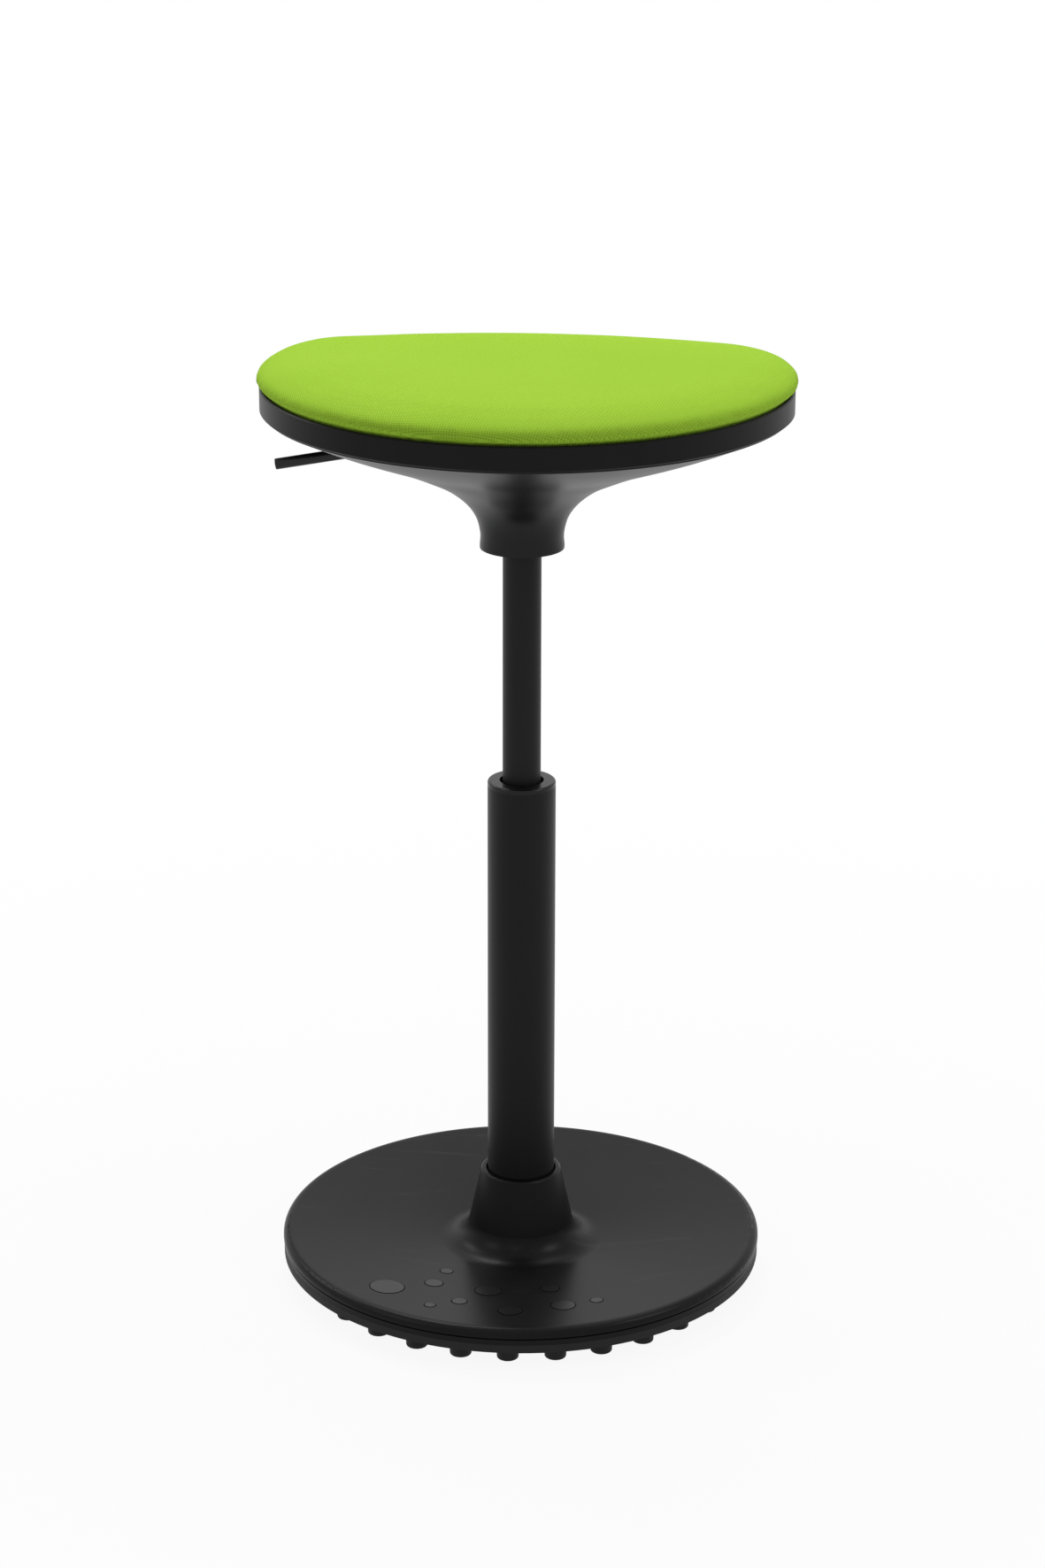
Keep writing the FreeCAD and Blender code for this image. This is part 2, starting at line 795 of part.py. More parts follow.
def build_rod():
    """Piston rod with its clip, washer, piston, seal and nut."""
    washer_foot = column_foot - s.washer_thickness
    clip_foot = washer_foot - s.clip_thickness
    groove_radius = s.rod_radius - s.groove_depth
    nut_top = piston_top + s.piston_nut_height
    node(turned("rod", [
        (0, clip_foot - s.rod_foot_length),
        (s.rod_radius, clip_foot - s.rod_foot_length),
        (s.rod_radius, clip_foot),
        (groove_radius, clip_foot),
        (groove_radius, washer_foot),
        (s.rod_radius, washer_foot),
        (s.rod_radius, piston_foot),
        (stem_radius, piston_foot),
        (stem_radius, nut_top + s.stem_tip_length),
        (0, nut_top + s.stem_tip_length),
    ]), "piston_rod")
    clip_radius = s.rod_radius + s.clip_width
    node(ring("clip", groove_radius, clip_radius, clip_foot, washer_foot), "rod_clip")
    washer_radius = s.rod_radius + s.washer_width
    node(ring("washer", s.rod_radius, washer_radius, washer_foot, column_foot), "rod_washer")
    cylinder_bore = cylinder_radius - s.cylinder_wall
    piston_radius = cylinder_bore - s.slide_clearance
    seal_foot = piston_foot + (s.piston_length - s.seal_width) / 2
    seal_root = piston_radius - s.seal_depth
    node(turned("piston_head", [
        (stem_radius, piston_foot),
        (piston_radius, piston_foot),
        (piston_radius, seal_foot),
        (seal_root, seal_foot),
        (seal_root, seal_foot + s.seal_width),
        (piston_radius, seal_foot + s.seal_width),
        (piston_radius, piston_top),
        (stem_radius, piston_top),
    ]), "piston")
    seal_radius = cylinder_bore - s.pin_clearance
    node(turned("seal_ring", [
        (seal_root, seal_foot),
        (seal_radius, seal_foot, s.seal_rounding),
        (seal_radius, seal_foot + s.seal_width, s.seal_rounding),
        (seal_root, seal_foot + s.seal_width),
    ]), "piston_seal")
    hexagon = doc.addObject("Part::Prism", "nut_blank")
    hexagon.Polygon = HEX_SIDES
    bind(hexagon, "Circumradius", stem_radius + s.piston_nut_width)
    bind(hexagon, "Height", s.piston_nut_height)
    place(hexagon, z=piston_top)
    nut_bore = cylinder("nut_bore", stem_radius, s.piston_nut_height, z=piston_top)
    node(cut("nut", hexagon, nut_bore), "piston_nut")


def tube_outer_radius(level):
    """Outside radius of the pressure tube on its taper, at a level."""
    share = (level - socket_foot) / (tube_top - socket_foot)
    return s.tube_radius - s.tube_taper * share


def build_lift():
    """Pressure tube with its guide, seal, inner cylinder, valve and release pin."""
    lip_radius = tube_bore - s.tube_lip_width
    node(turned("pressure", [
        (lip_radius, tube_foot),
        (s.tube_radius, tube_foot, s.tube_end_rounding),
        (s.tube_radius, socket_foot),
        (s.tube_radius - s.tube_taper, tube_top),
        (lip_radius, tube_top),
        (lip_radius, valve_top),
        (tube_bore, valve_top),
        (tube_bore, guide_foot),
        (lip_radius, guide_foot),
    ]), "pressure_tube")
    fill = tube_bore - s.taper_clearance
    node(ring("guide", s.rod_radius + s.rod_clearance, fill, guide_foot, guide_top), "rod_guide")
    node(ring("gland", s.rod_radius + s.pin_clearance, fill, guide_top, rod_seal_top), "rod_seal")
    node(ring("inner_tube", cylinder_radius - s.cylinder_wall, cylinder_radius,
              rod_seal_top, valve_foot), "inner_cylinder")
    node(ring("valve", s.pin_radius + s.pin_clearance, fill, valve_foot, valve_top), "valve_body")
    disc_foot = valve_foot - s.valve_disc_height
    disc_radius = s.pin_radius + s.valve_disc_width
    node(turned("pin", [
        (0, disc_foot),
        (disc_radius, disc_foot),
        (disc_radius, valve_foot),
        (s.pin_radius, valve_foot),
        (s.pin_radius, pin_top, s.pin_rounding),
        (0, pin_top),
    ]), "release_pin")


def build_carrier():
    """Tapered socket, lever bracket and mounting plate, welded together."""
    node(turned("socket", [
        (tube_outer_radius(socket_foot) + s.taper_clearance, socket_foot),
        (socket_radius, socket_foot),
        (socket_radius, socket_top),
        (tube_outer_radius(socket_top) + s.taper_clearance, socket_top),
    ]), "taper_socket")
    inner_half = bracket_half_width - s.bracket_wall
    shell = block("bracket_shell", bracket_length, bracket_width, s.bracket_depth,
                  -bracket_front, -bracket_half_width, bracket_foot)
    room = block("bracket_room", bracket_length - s.bracket_wall, inner_half + inner_half,
                 s.bracket_depth - s.bracket_wall, -bracket_front, -inner_half, bracket_floor)
    seat = cylinder("bracket_seat", socket_radius, s.bracket_wall, z=bracket_foot)
    across = FreeCAD.Rotation(FreeCAD.Vector(1, 0, 0), -QUARTER_TURN)
    hole = cylinder("bracket_pivot_hole", s.pivot_radius, bracket_width,
                    -s.pivot_reach, -bracket_half_width, pivot_level, across)
    node(cut("bracket", shell, joined("bracket_tools", [room, seat, hole])), "lever_bracket")

    body = doc.addObject("PartDesign::Body", "mount_body")
    half_length = s.mount_length / 2
    half_plate = s.mount_width / 2
    pad = body.newObject("PartDesign::Pad", "mount_pad")
    pad.Profile = outline_sketch(body, "XY_Plane", [
        (-half_length, -half_plate, s.mount_corner),
        (half_length, -half_plate, s.mount_corner),
        (half_length, half_plate, s.mount_corner),
        (-half_length, half_plate, s.mount_corner),
    ])
    bind(pad, "Length", s.mount_thickness)
    body.Tip = pad
    place(body, z=mount_foot)
    window = block("mount_window", bracket_length - s.bracket_wall - s.bracket_wall,
                   inner_half + inner_half, s.mount_thickness,
                   s.bracket_wall - bracket_front, -inner_half, mount_foot)
    tools = [window]
    screws = []
    nuts = []
    barrels = []
    for x_side in (-1, 1):
        for y_side in (-1, 1):
            x = x_side * (half_length - s.mount_screw_inset)
            y = y_side * (half_plate - s.mount_screw_inset)
            tools.append(cylinder("mount_hole", s.mount_screw_radius + s.mount_hole_clearance,
                                  s.mount_thickness, x, y, mount_foot))
            screws.append(mount_screw(x, y))
            nuts.append(tee_nut(x, y))
            barrels.append((x, y))
    node(cut("mount", body, joined("mount_tools", tools)), "mounting_plate")
    node(group("mount_screw_set", screws), "plate_screws")
    node(group("nut_set", nuts), "tee_nuts")
    return barrels


def mount_screw(x, y):
    """Screw that holds the mounting plate to the board."""
    head_foot = mount_foot - s.mount_screw_head_height
    head = cylinder("mount_screw_head", s.mount_screw_radius + s.mount_screw_head_width,
                    s.mount_screw_head_height, x, y, head_foot)
    shank = cylinder("mount_screw_shank", s.mount_screw_radius,
                     board_top - s.nut_flange_thickness - head_foot, x, y, head_foot)
    return joined("mount_screw", [head, shank])


def tee_nut(x, y):
    """Flanged nut sunk in the top of the board."""
    barrel = cylinder("nut_barrel", nut_radius, s.board_thickness, x, y, board_foot)
    flange = cylinder("nut_flange", nut_radius + s.nut_flange_width, s.nut_flange_thickness,
                      x, y, board_top - s.nut_flange_thickness)
    bore = cylinder("nut_thread", s.mount_screw_radius, s.board_thickness, x, y, board_foot)
    return cut("tee_nut", joined("nut_body", [barrel, flange]), bore)


def lever_rotation(extra):
    """Rotation that lays a cylinder along the lever, raised by some degrees."""
    tilt = -(QUARTER_TURN + s.lever_slope_angle.value - extra)
    return FreeCAD.Rotation(FreeCAD.Vector(0, 1, 0), tilt)


def build_lever():
    """Height lever with its barrel and paddle, on a pin through the bracket."""
    side = socket_radius + s.bracket_side_gap - s.lever_side_gap
    across = FreeCAD.Rotation(FreeCAD.Vector(1, 0, 0), -QUARTER_TURN)
    rod = cylinder("lever_bar", s.lever_radius, s.lever_length, -s.pivot_reach, 0, pivot_level,
                   lever_rotation(0))
    barrel = cylinder("lever_barrel", s.pivot_radius + s.lever_barrel_wall, side + side,
                      -s.pivot_reach, -side, pivot_level, across)
    paddle = block("lever_paddle", s.pivot_reach + s.paddle_overlap, s.paddle_width,
                   s.paddle_thickness, -s.pivot_reach, -s.paddle_width / 2, paddle_foot)
    bore = cylinder("lever_bore", s.pivot_radius + s.pivot_clearance, side + side,
                    -s.pivot_reach, -side, pivot_level, across)
    node(cut("lever", joined("lever_solid", [rod, barrel, paddle]), bore), "lever_rod")
    pin = cylinder("pivot_shank", s.pivot_radius, bracket_width + s.pivot_overhang,
                   -s.pivot_reach, -bracket_half_width, pivot_level, across)
    head = cylinder("pivot_head", s.pivot_radius + s.pivot_head_width, s.pivot_head_height,
                    -s.pivot_reach, -bracket_half_width - s.pivot_head_height, pivot_level, across)
    node(joined("pivot", [pin, head]), "pivot_pin")
    disc = cylinder("clip_disc", s.pivot_radius + s.pivot_clip_width, s.clip_thickness,
                    -s.pivot_reach, bracket_half_width, pivot_level, across)
    hole = cylinder("clip_hole", s.pivot_radius, s.clip_thickness, -s.pivot_reach,
                    bracket_half_width, pivot_level, across)
    node(cut("lever_clip", disc, hole), "pin_clip")


def seat_arcs():
    """Centre, radius and span of the six tangent arcs of the seat outline."""
    front_turn = math.radians(s.seat_front_half_angle.value - QUARTER_TURN)
    flank_turn = math.radians(s.seat_flank_end_angle.value)
    front_radius = s.seat_front_radius.value
    flank_radius = s.seat_flank_radius.value
    corner_radius = s.seat_corner_radius.value
    front = FreeCAD.Vector(0, front_radius - s.seat_front_reach.value, 0)
    flank = front + direction(front_turn) * (front_radius - flank_radius)
    corner = flank + direction(flank_turn) * (flank_radius - corner_radius)
    bow = s.seat_back_bow.value
    back_radius = (corner.x ** 2 + (corner_radius + bow) ** 2 - corner_radius ** 2) / (2 * bow)
    back = FreeCAD.Vector(0, corner.y + corner_radius + bow - back_radius, 0)
    back_turn = math.atan2(corner.y - back.y, corner.x)
    half = math.pi
    return [
        (front, front_radius, -half - front_turn, front_turn),
        (flank, flank_radius, front_turn, flank_turn),
        (corner, corner_radius, flank_turn, back_turn),
        (back, back_radius, back_turn, half - back_turn),
        (mirrored(corner), corner_radius, half - back_turn, half - flank_turn),
        (mirrored(flank), flank_radius, half - flank_turn, half - front_turn),
    ]


def direction(angle):
    """Unit direction at an angle in the plan."""
    return FreeCAD.Vector(math.cos(angle), math.sin(angle), 0)


def mirrored(point):
    """The same point on the other side of the seat."""
    return FreeCAD.Vector(-point.x, point.y, point.z)


def seat_section(scale, spread, level):
    """Closed wire of the seat outline, scaled about the column and widened by a spread."""
    edges = []
    lift = FreeCAD.Vector(0, 0, level)
    for centre, radius, start, end in seat_arcs():
        spots = []
        for angle in (start, (start + end) / 2, end):
            spots.append(centre * scale + direction(angle) * (radius * scale + spread) + lift)
        edges.append(Part.Arc(*spots).toShape())
    return Part.Wire(edges)


def lofted(sections, ruled=False):
    """Solid through sections of (scale, spread, level)."""
    return Part.makeLoft([seat_section(*section) for section in sections], True, ruled)


def evened(sections, count):
    """The same run of sections, evenly spaced along a smooth line through them."""
    reach = mean_reach()
    points = [FreeCAD.Vector(scale * reach, spread, level) for scale, spread, level in sections]
    line = Part.BSplineCurve()
    line.interpolate(points)
    return [(point.x / reach, point.y, point.z) for point in line.discretize(Number=count)]


def inset_sections(sections, depth):
    """The sections moved square to the surface by a depth, towards the inside of the solid."""
    reach = mean_reach()
    befores = sections[:1] + sections[:-1]
    afters = sections[1:] + sections[-1:]
    moved = []
    for before, (scale, spread, level), after in zip(befores, sections, afters):
        run = (after[0] - before[0]) * reach + after[1] - before[1]
        rise = after[2] - before[2]
        length = math.hypot(run, rise)
        moved.append((scale, spread - depth * rise / length, level + depth * run / length))
    return moved


def mean_reach():
    """Reach of the seat outline, between its front and its side."""
    return (s.seat_front_reach.value + seat_half_width()) / 2


def prism(spread, foot, top):
    """Upright solid of the seat outline, widened by a spread."""
    return lofted([(1, spread, foot), (1, spread, top)], True)


def build_seat(barrels):
    """Under-cover, rim, board, foam and fabric."""
    profile = []
    edge_level = rim_foot.value - s.under_edge_height.value
    edge_inset = s.under_edge_inset.value
    for neck_share, seat_share, height_share in UNDER_SHARES:
        spread = neck_share * s.neck_radius.value - seat_share * edge_inset
        level = neck_foot.value + height_share * (edge_level - neck_foot.value)
        profile.append((seat_share, spread, level))
    profile = evened(profile, UNDER_SECTION_COUNT)
    outer = lofted(profile).fuse(prism(-edge_inset, edge_level, rim_foot.value))
    wall = s.under_cover_wall.value
    floor = neck_foot.value + s.neck_floor.value
    inner = [section for section in inset_sections(profile, wall)[1:-1] if section[2] > floor]
    inner.insert(0, (0, s.neck_radius.value - wall, floor))
    inner.append((1, -edge_inset - wall, rim_foot.value + s.overrun.value))
    shell = outer.cut(lofted(inner))
    mouth = Part.makeCylinder(s.tube_radius.value + s.neck_gap.value, s.neck_floor.value,
                              FreeCAD.Vector(0, 0, neck_foot.value))
    shell = shell.cut(mouth).cut(lever_sweep())
    screws = []
    pilots = []
    boss_top = board_foot.value
    boss_radius = s.under_screw_radius.value + s.under_boss_wall.value
    head_radius = s.under_screw_radius.value + s.under_screw_head_width.value
    for x_share, y_share in UNDER_SCREW_SHARES:
        spot = FreeCAD.Vector(x_share * mean_reach(), y_share * mean_reach(), neck_foot.value)
        post = Part.makeCylinder(boss_radius, boss_top - neck_foot.value, spot)
        below = Part.makeCylinder(boss_radius, rim_foot.value - neck_foot.value, spot)
        post = post.cut(below.cut(outer))
        well_radius = head_radius + s.under_screw_well_gap.value
        head_level = boss_top - s.under_boss_cap.value
        well = Part.makeCylinder(well_radius, head_level - neck_foot.value, spot)
        spot.z = head_level - s.under_screw_head_height.value
        head = Part.makeCylinder(head_radius, s.under_screw_head_height.value, spot)
        bite = s.under_screw_head_height.value + s.under_boss_cap.value + s.under_screw_bite.value
        shank = Part.makeCylinder(s.under_screw_radius.value, bite, spot)
        screws.append(head.fuse(shank))
        pilots.append(shank)
        shell = shell.fuse(post).cut(well).cut(shank)
    node(solid("under_shell", shell.removeSplitter()), "under_cover")
    node(solid("under_screw_set", Part.makeCompound(screws)), "under_cover_screws")

    rim_base = rim_foot.value + s.rim_seam.value
    rim_top = rim_base + s.rim_height.value
    edge = s.rim_edge.value
    band = lofted([(1, -edge, rim_base), (1, 0, rim_base + edge), (1, 0, rim_top - edge),
                   (1, -edge, rim_top)], True)
    opening = prism(-s.rim_wall.value, board_foot.value, rim_top + s.overrun.value)
    throat = prism(-s.rim_wall.value - s.ledge_width.value, rim_base, board_foot.value)
    node(solid("rim", band.cut(opening).cut(throat)), "seat_rim")

    thickness = s.fabric_thickness.value
    board_inset = -s.rim_wall.value - s.fabric_gap.value - thickness - s.board_gap.value
    board = prism(board_inset, board_foot.value, board_top.value)
    for x, y in barrels:
        spot = FreeCAD.Vector(x.value, y.value, board_foot.value)
        board = board.cut(Part.makeCylinder(nut_radius.value, s.board_thickness.value, spot))
        spot.z = board_top.value - s.nut_flange_thickness.value
        board = board.cut(Part.makeCylinder((nut_radius + s.nut_flange_width).value,
                                            s.nut_flange_thickness.value, spot))
    for pilot in pilots:
        board = board.cut(pilot)
    node(solid("board", board), "seat_board")

    outside = cushion_solid(0)
    inside = cushion_solid(thickness)
    foam = cushion_solid(thickness + s.foam_gap.value)
    below_board = prism(s.overrun.value, rim_base, board_top.value)
    node(solid("foam", foam.cut(below_board)), "seat_foam")
    node(solid("fabric", outside.cut(inside)), "seat_cover")


def seat_half_width():
    """Half width of the seat, which is widest on its flank arcs."""
    centre, radius, start, end = seat_arcs()[1]
    return centre.x + radius


def cushion_solid(inset):
    """Crowned cushion with drawn-in sides, inset from the fabric's outer face."""
    foot = board_foot.value
    crown_level = board_top.value + s.cushion_rise.value
    side_rise = crown_level - s.cushion_crown.value - foot
    sections = []
    for gap_share, rise_share in SIDE_SHARES:
        spread = -s.rim_wall.value - gap_share * s.fabric_gap.value
        sections.append((1, spread, foot + rise_share * side_rise))
    side_inset = sections[-1][1]
    for seat_share, inset_share, crown_share in CROWN_SHARES:
        level = crown_level - (1 - crown_share) * s.cushion_crown.value
        sections.append((seat_share, side_inset * inset_share, level))
    sections = evened(sections, CUSHION_SECTION_COUNT)
    if not inset:
        return lofted(sections)
    shrunk = inset_sections(sections, inset)
    shrunk[0] = (1, shrunk[0][1], foot - s.overrun.value)
    return lofted(shrunk)


def lever_sweep():
    """Room that the lever sweeps through the cover under the seat."""
    radius = s.lever_radius.value + s.lever_hole_gap.value
    pivot = FreeCAD.Vector(-s.pivot_reach.value, 0, pivot_level.value)
    along = FreeCAD.Vector(0, 0, s.lever_length.value)
    ends = []
    shape = None
    for extra in (0, s.lever_swing_angle.value):
        arm = lever_rotation(extra).multVec(along)
        ends.append(pivot + arm)
        bar = Part.makeCylinder(radius, s.lever_length.value, pivot, arm)
        shape = bar if shape is None else shape.fuse(bar)
    aside = FreeCAD.Vector(0, radius, 0)
    corners = [pivot - aside, ends[0] - aside, ends[1] - aside, pivot - aside]
    fan = Part.Face(Part.makePolygon(corners)).extrude(aside * 2)
    return shape.fuse(fan)


def check_and_export():
    """Stop on any failed object or empty shape, then write each sub-part."""
    doc.recompute()
    for thing in doc.Objects:
        if "Invalid" in thing.State or "Error" in thing.State:
            raise RuntimeError(f"{thing.Label} failed: {thing.State}")
    labels = [thing.Label for thing in NODES]
    if len(set(labels)) != len(labels):
        raise RuntimeError("two sub-parts share a name")
    for thing in NODES:
        if thing.Shape.isNull() or not thing.Shape.isValid():
            raise RuntimeError(f"{thing.Label} has no valid shape")
    for thing in NODES:
        thing.Shape.exportStep(os.path.join("parts", thing.Label + ".step"))
        box = thing.Shape.BoundBox
        print(f"{thing.Label:20s} solids {len(thing.Shape.Solids):3d} volume {thing.Shape.Volume:12.1f}"
              f" z {box.ZMin:7.2f} to {box.ZMax:7.2f}")


build_sole()
build_plate()
build_cover()
build_column()
build_bearing()
build_rod()
build_lift()
nut_spots = build_carrier()
build_lever()
build_seat(nut_spots)
check_and_export()
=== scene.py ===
import json
import math

import bpy
import bmesh
from mathutils import Matrix, Vector


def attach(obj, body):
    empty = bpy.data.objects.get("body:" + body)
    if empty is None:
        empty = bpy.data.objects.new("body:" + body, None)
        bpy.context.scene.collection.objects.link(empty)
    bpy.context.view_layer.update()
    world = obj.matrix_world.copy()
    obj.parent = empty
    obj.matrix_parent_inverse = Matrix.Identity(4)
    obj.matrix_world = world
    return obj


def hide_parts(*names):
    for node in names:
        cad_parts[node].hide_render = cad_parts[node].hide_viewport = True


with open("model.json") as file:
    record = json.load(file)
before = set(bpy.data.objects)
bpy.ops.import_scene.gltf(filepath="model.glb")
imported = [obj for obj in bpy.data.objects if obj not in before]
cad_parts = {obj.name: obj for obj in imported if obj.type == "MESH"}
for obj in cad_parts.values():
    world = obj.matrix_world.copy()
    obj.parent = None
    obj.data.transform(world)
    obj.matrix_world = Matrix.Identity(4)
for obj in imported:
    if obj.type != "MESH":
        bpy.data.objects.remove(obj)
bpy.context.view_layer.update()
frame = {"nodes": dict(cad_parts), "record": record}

# Looks of the office stool. Metres, in the frame of the CAD: +Z up, the seat's front faces -Y.

NODES = frame["nodes"]

# Camera, solved from the photograph: metres, degrees, and millimetres of lens and film
CAMERA_PLACE = (0.1940, -2.6210, 1.2976)
CAMERA_YAW = -4.22
CAMERA_PITCH = 19.168
CAMERA_ROLL = 0.12
CAMERA_LENS = 87.36
CAMERA_REACH = 200.0
FILM_SIDE = 36.0

# Seat outline: six tangent arcs, the same as in the CAD
FRONT_REACH = 0.1396
FRONT_RADIUS = 0.1936
FRONT_HALF_ANGLE = 76.5
FLANK_RADIUS = 0.1504
FLANK_END_ANGLE = 19.6
CORNER_RADIUS = 0.0612
BACK_BOW = 0.0145

# Side of the cushion: how far each level stands out from the outline, and its height
CUSHION_SIDE = (
    (-0.0052, 0.6590),
    (-0.0052, 0.6640),
    (-0.0052, 0.6690),
    (-0.0050, 0.6712),
    (-0.0038, 0.6730),
    (0.0000, 0.6746),
    (0.0028, 0.6766),
    (0.0038, 0.6794),
    (0.0023, 0.6823),
    (-0.0014, 0.6849),
    (-0.0064, 0.6869),
    (-0.0125, 0.6885),
    (-0.0212, 0.6896),
)
# Crown of the cushion: share of the outline, how far it stands out from that, and its height
CUSHION_CROWN = (
    (0.93, -0.0192, 0.6904),
    (0.80, -0.0150, 0.6911),
    (0.60, -0.0095, 0.6915),
    (0.38, -0.0048, 0.6917),
    (0.16, -0.0015, 0.6918),
)
# Its mesh: points round each ring, voxel, and rounds of smoothing after the voxels
CUSHION_STEPS = 200
CUSHION_VOXEL = 0.0040
VOXEL_SMOOTHING = 3

# Swelling: the cloth is held below one height and free above the other; most that it moves,
# rounds of smoothing of that move, and frames that are simulated
HELD_BELOW = 0.6735
FREE_ABOVE = 0.6790
CUSHION_SWELL = 0.0016
SWELL_SMOOTHING = 40
LAST_FRAME = 20
CLOTH = {
    "quality": 5,
    "mass": 0.3,
    "tension_stiffness": 18.0,
    "compression_stiffness": 18.0,
    "shear_stiffness": 8.0,
    "bending_stiffness": 1.0,
    "use_pressure": True,
    "uniform_pressure_force": 4.0,
}

# Weave: pitch of its rows, their slant in degrees, the height below which it is drawn down over
# the edge, and how much of the drop it follows
WEAVE_PITCH = 0.0027
WEAVE_SLANT = 34.0
WEAVE_EDGE = 0.6895
WEAVE_DRAW = 0.85

# Floor: it glows a little less near the object, so that the shadow shows there
FLOOR_REACH = 30.0
FLOOR_GREY = 0.86
GLOW_NEAR = 0.25
GLOW_FAR = 1.10
GLOW_SHARE_NEAR = 0.92

# World: the grey that lights the object, and the white that the camera sees
AMBIENT_GREY = 0.20
BACKDROP_GREY = 1.0

# Lamps: name, place, target, side and power
LAMPS = (
    ("overhead", (0.0, 0.7, 2.9), (0.0, 0.0, 0.4), 2.0, 30.0),
    ("high_back", (-0.7, 1.7, 2.9), (0.0, 0.0, 0.2), 0.9, 18.0),
    ("left", (-2.4, -1.4, 1.9), (0.0, 0.0, 0.45), 1.3, 9.0),
    ("right", (2.2, -0.65, 2.1), (0.0, 0.0, 0.3), 1.0, 16.0),
    ("left_back", (-2.0, 1.2, 2.1), (0.0, 0.0, 0.5), 0.8, 10.0),
)


# Materials

# Part of the range from 0 to 1 that the values of a noise mostly fill
NOISE_BAND = (0.3, 0.7)


class Tree:
    """A material's node tree, with short calls for the nodes that are used here."""

    def __init__(self, name):
        self.material = bpy.data.materials.new(name)
        self.material.use_nodes = True
        self.nodes = self.material.node_tree.nodes
        self.links = self.material.node_tree.links
        self.shader = self.nodes["Principled BSDF"]
        self.coords = self.nodes.new("ShaderNodeTexCoord").outputs["Object"]

    def link(self, source, target):
        self.links.new(source, target)

    def feed(self, target, value):
        """Link a socket to the target, or set the target to a constant."""
        if isinstance(value, bpy.types.NodeSocket):
            self.links.new(value, target)
        else:
            target.default_value = value

    def set(self, **values):
        """Constants on the shader's own sockets."""
        for name, value in values.items():
            self.shader.inputs[name.replace("_", " ")].default_value = value

    def texture(self, kind, coords=None, **values):
        """A texture or mapping node with constants on its sockets, fed with coordinates."""
        node = self.nodes.new(kind)
        for name, value in values.items():
            node.inputs[name].default_value = value
        self.link(coords or self.coords, node.inputs["Vector"])
        return node

    def noise(self, scale, detail, roughness=0.5, distortion=0.0, coords=None):
        node = self.texture("ShaderNodeTexNoise", coords, Scale=scale, Detail=detail,
                            Roughness=roughness, Distortion=distortion)
        return node.outputs["Fac"]

    def scaled(self, x, y, z, turn=0.0):
        """Object coordinates, scaled along each axis and turned about Z by degrees."""
        turns = (0.0, 0.0, math.radians(turn))
        node = self.texture("ShaderNodeMapping", Scale=(x, y, z), Rotation=turns)
        return node.outputs["Vector"]

    def split(self, vector):
        node = self.nodes.new("ShaderNodeSeparateXYZ")
        self.link(vector, node.inputs["Vector"])
        return node.outputs

    def math(self, operation, first, second=0.0):
        node = self.nodes.new("ShaderNodeMath")
        node.operation = operation
        self.feed(node.inputs[0], first)
        self.feed(node.inputs[1], second)
        return node.outputs["Value"]

    def vector(self, operation, first, second=(0.0, 0.0, 0.0), scale=None):
        node = self.nodes.new("ShaderNodeVectorMath")
        node.operation = operation
        self.feed(node.inputs[0], first)
        if operation == "SCALE":
            self.feed(node.inputs["Scale"], scale)
        else:
            self.feed(node.inputs[1], second)
        return node.outputs["Vector"]

    def span(self, value, low, high, to_low=0.0, to_high=1.0):
        """Map a value from one range to another."""
        node = self.nodes.new("ShaderNodeMapRange")
        node.inputs["From Min"].default_value = low
        node.inputs["From Max"].default_value = high
        node.inputs["To Min"].default_value = to_low
        node.inputs["To Max"].default_value = to_high
        self.link(value, node.inputs["Value"])
        return node.outputs["Result"]

    def mix(self, share, first, second):
        """Mix two colours; each is a socket or three channels."""
        node = self.nodes.new("ShaderNodeMix")
        node.data_type = "RGBA"
        self.feed(node.inputs[0], share)
        for socket, colour in ((node.inputs[6], first), (node.inputs[7], second)):
            is_socket = isinstance(colour, bpy.types.NodeSocket)
            self.feed(socket, colour if is_socket else (*colour, 1.0))
        return node.outputs[2]

    def bump(self, height, strength, distance):
        node = self.nodes.new("ShaderNodeBump")
        node.inputs["Strength"].default_value = strength
        node.inputs["Distance"].default_value = distance
        self.link(height, node.inputs["Height"])
        return node.outputs["Normal"]

    def finish(self, colour, roughness, normal):
        self.link(colour, self.shader.inputs["Base Color"])
        self.link(roughness, self.shader.inputs["Roughness"])
        self.link(normal, self.shader.inputs["Normal"])
        return self.material


def moulded(name, dark, light, rough, grain, grain_depth, gloss, scuffs=0.0):
    """Moulded or coated black surface: fine grain, cloudy wear and a few pale scuffs."""
    rough_spread = 0.02
    scuff_rough = 0.5
    scuff_colour = (0.16, 0.16, 0.16)
    tree = Tree(name)
    clouds = tree.noise(scale=9.0, detail=4.0, roughness=0.6, distortion=0.6)
    colour = tree.mix(tree.span(clouds, 0.35, 0.65), dark, light)
    roughness = tree.span(clouds, *NOISE_BAND, rough - rough_spread, rough + rough_spread)
    if scuffs:
        drawn_out = tree.scaled(1.0, 5.5, 1.0, turn=32.0)
        streaks = tree.noise(scale=5.0, detail=6.0, roughness=0.62, distortion=2.2,
                             coords=drawn_out)
        worn = tree.span(streaks, 0.60, 0.80, to_high=scuffs)
        colour = tree.mix(worn, colour, scuff_colour)
        roughness = tree.math("ADD", roughness, tree.math("MULTIPLY", worn, scuff_rough))
    fine = tree.noise(scale=grain, detail=2.0, roughness=0.6)
    tree.set(Specular_IOR_Level=gloss)
    return tree.finish(colour, roughness, tree.bump(fine, strength=0.35, distance=grain_depth))


